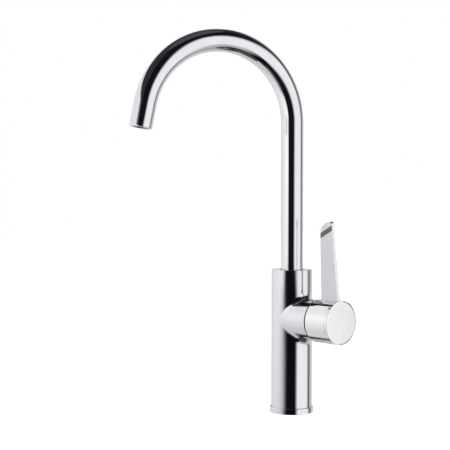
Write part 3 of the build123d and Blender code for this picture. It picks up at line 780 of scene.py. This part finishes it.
def clothMaterial(name, panels, base):
    # glowing cloth: only polished metal sees it, as soft pale and dark areas
    material, tree = newMaterial(name)
    place = addNode(tree, "ShaderNodeTexCoord")
    turned = addNode(tree, "ShaderNodeMapping", values={
        "Rotation": (0, 0, math.radians(studioShape["turn"]))}, links={"Vector": place.outputs["Object"]})
    height = addNode(tree, "ShaderNodeSeparateXYZ", links={"Vector": turned.outputs["Vector"]})
    azimuth = addNode(tree, "ShaderNodeMath", {"operation": "ARCTAN2"},
                      links={0: height.outputs["Y"], 1: height.outputs["X"]})
    degrees = addNode(tree, "ShaderNodeMath", {"operation": "DEGREES"}, links={0: azimuth.outputs[0]})
    level = cover = None
    for panel in panels.values():
        mask = panelMask(tree, panel, degrees, height)
        mixed = addNode(tree, "ShaderNodeMix", {"data_type": "FLOAT"}, {2: base, 3: panel["level"]},
                        {0: mask.outputs[0]})
        covered = addNode(tree, "ShaderNodeMix", {"data_type": "FLOAT"}, {2: 0.0, 3: 1.0},
                          {0: mask.outputs[0]})
        if level:
            tree.links.new(level.outputs[0], mixed.inputs[2])
            tree.links.new(cover.outputs[0], covered.inputs[2])
        level, cover = mixed, covered
    # dim cloth is a little bluer than pale cloth
    shadeOrPale = addNode(tree, "ShaderNodeMapRange", values={
        "From Min": 0.0, "From Max": studioShape["paleFrom"]}, links={"Value": level.outputs[0]})
    tint = addNode(tree, "ShaderNodeMix", {"data_type": "RGBA"}, links={0: shadeOrPale.outputs[0]})
    tint.inputs[6].default_value = linearColour(studioShape["tint"])
    tint.inputs[7].default_value = (1, 1, 1, 1)
    glow = addNode(tree, "ShaderNodeEmission", links={"Color": tint.outputs[2], "Strength": level.outputs[0]})
    seen = glow
    if not base:
        # where no panel covers the cloth, the wall behind shows
        clear = addNode(tree, "ShaderNodeMath", {"operation": "SUBTRACT"}, {0: 1.0}, {1: cover.outputs[0]})
        through = addNode(tree, "ShaderNodeBsdfTransparent", links={"Color": clear.outputs[0]})
        seen = addNode(tree, "ShaderNodeAddShader", links={0: glow.outputs[0], 1: through.outputs[0]})
    addNode(tree, "ShaderNodeOutputMaterial", links={"Surface": seen.outputs[0]})
    return material


def onlyMirrored(stageObject):
    # seen by polished metal and by nothing else
    for ray in ("camera", "diffuse", "transmission", "volume_scatter", "shadow"):
        setattr(stageObject, "visible_" + ray, False)


def makeWall(name, radius, foot, top, material):
    # an open round wall about the tap
    bpy.ops.object.select_all(action="DESELECT")
    bpy.ops.mesh.primitive_cylinder_add(vertices=studioShape["corners"], radius=radius, depth=top - foot,
                                        end_fill_type="NOTHING", location=(0, 0, (top + foot) / 2))
    wall = bpy.context.object
    wall.name = name
    bpy.ops.object.transform_apply(location=True)
    wall.data.materials.append(material)
    onlyMirrored(wall)


makeWall("studio_outer_wall", studioShape["outer"], studioShape["outerFoot"], studioShape["outerTop"],
         clothMaterial("studioClothOuter", outerPanels, studioShape["base"]))
makeWall("studio_inner_wall", studioShape["inner"], studioShape["innerFoot"], studioShape["innerTop"],
         clothMaterial("studioClothInner", innerPanels, 0.0))
print("studio walls done")


# Floor, light and camera

camera = {"place": (1.0126, -1.0659, 0.2807), "looks": (-0.7249, 0.6874, -0.0450), "roll": 0.0211,
          "lens": 102.73, "sensor": 36, "nearest": 0.05, "furthest": 50}
floorShape = {"size": 6.0, "level": -0.0001, "glow": 0.82, "colour": "CFCFD1"}
lampShape = {"place": (0.3, -0.9, 2.2), "size": 1.6, "watts": 14.0}


def addCamera():
    data = bpy.data.cameras.new("camera")
    data.sensor_width = camera["sensor"]
    data.lens = camera["lens"]
    data.clip_start = camera["nearest"]
    data.clip_end = camera["furthest"]
    eye = bpy.data.objects.new("camera", data)
    bpy.context.scene.collection.objects.link(eye)
    look = Vector(camera["looks"]).to_track_quat("-Z", "Y").to_matrix().to_4x4()
    roll = Matrix.Rotation(math.radians(camera["roll"]), 4, "Z")
    eye.matrix_world = Matrix.Translation(camera["place"]) @ look @ roll
    bpy.context.scene.camera = eye


def addFloor():
    # a plain pale floor: its own glow makes it white, and its matt part keeps the shadow
    bpy.ops.object.select_all(action="DESELECT")
    bpy.ops.mesh.primitive_plane_add(size=floorShape["size"], location=(0, 0, floorShape["level"]))
    floor = bpy.context.object
    floor.name = "floor"
    material, tree = newMaterial("floorMattWhite")
    path = addNode(tree, "ShaderNodeLightPath")
    glowing = addNode(tree, "ShaderNodeMath", {"operation": "MULTIPLY"}, {1: floorShape["glow"]},
                      {0: path.outputs["Is Camera Ray"]})
    glow = addNode(tree, "ShaderNodeEmission", links={"Strength": glowing.outputs[0]})
    matt = addNode(tree, "ShaderNodeBsdfDiffuse", values={"Color": linearColour(floorShape["colour"])})
    both = addNode(tree, "ShaderNodeAddShader", links={0: glow.outputs[0], 1: matt.outputs[0]})
    addNode(tree, "ShaderNodeOutputMaterial", links={"Surface": both.outputs[0]})
    floor.data.materials.append(material)
    floor.visible_glossy = False


def addLamp():
    data = bpy.data.lights.new("softLamp", "AREA")
    data.size = lampShape["size"]
    data.energy = lampShape["watts"]
    lamp = bpy.data.objects.new("softLamp", data)
    bpy.context.scene.collection.objects.link(lamp)
    place = Vector(lampShape["place"])
    lamp.matrix_world = Matrix.Translation(place) @ (-place).to_track_quat("-Z", "Y").to_matrix().to_4x4()
    lamp.visible_glossy = False


def addWorld():
    # white where the camera looks past the object, a plain level on matt surfaces,
    # and a dark room above the walls in what the metal mirrors
    levels = {"white": 1.0, "matt": 0.8, "room": 0.085}
    world = bpy.data.worlds.new("plainStudio")
    bpy.context.scene.world = world
    world.use_nodes = True
    tree = world.node_tree
    tree.nodes.clear()
    path = addNode(tree, "ShaderNodeLightPath")
    white, matt, room = [
        addNode(tree, "ShaderNodeBackground", values={"Color": (1, 1, 1, 1), "Strength": levels[name]})
        for name in ("white", "matt", "room")]
    seen = addNode(tree, "ShaderNodeMixShader",
                   links={0: path.outputs["Is Camera Ray"], 1: matt.outputs[0], 2: white.outputs[0]})
    mirrored = addNode(tree, "ShaderNodeMixShader",
                       links={0: path.outputs["Is Glossy Ray"], 1: seen.outputs[0], 2: room.outputs[0]})
    addNode(tree, "ShaderNodeOutputWorld", links={"Surface": mirrored.outputs[0]})


addCamera()
addFloor()
addLamp()
addWorld()
bpy.context.scene.view_settings.view_transform = "Standard"
print("studio ready")
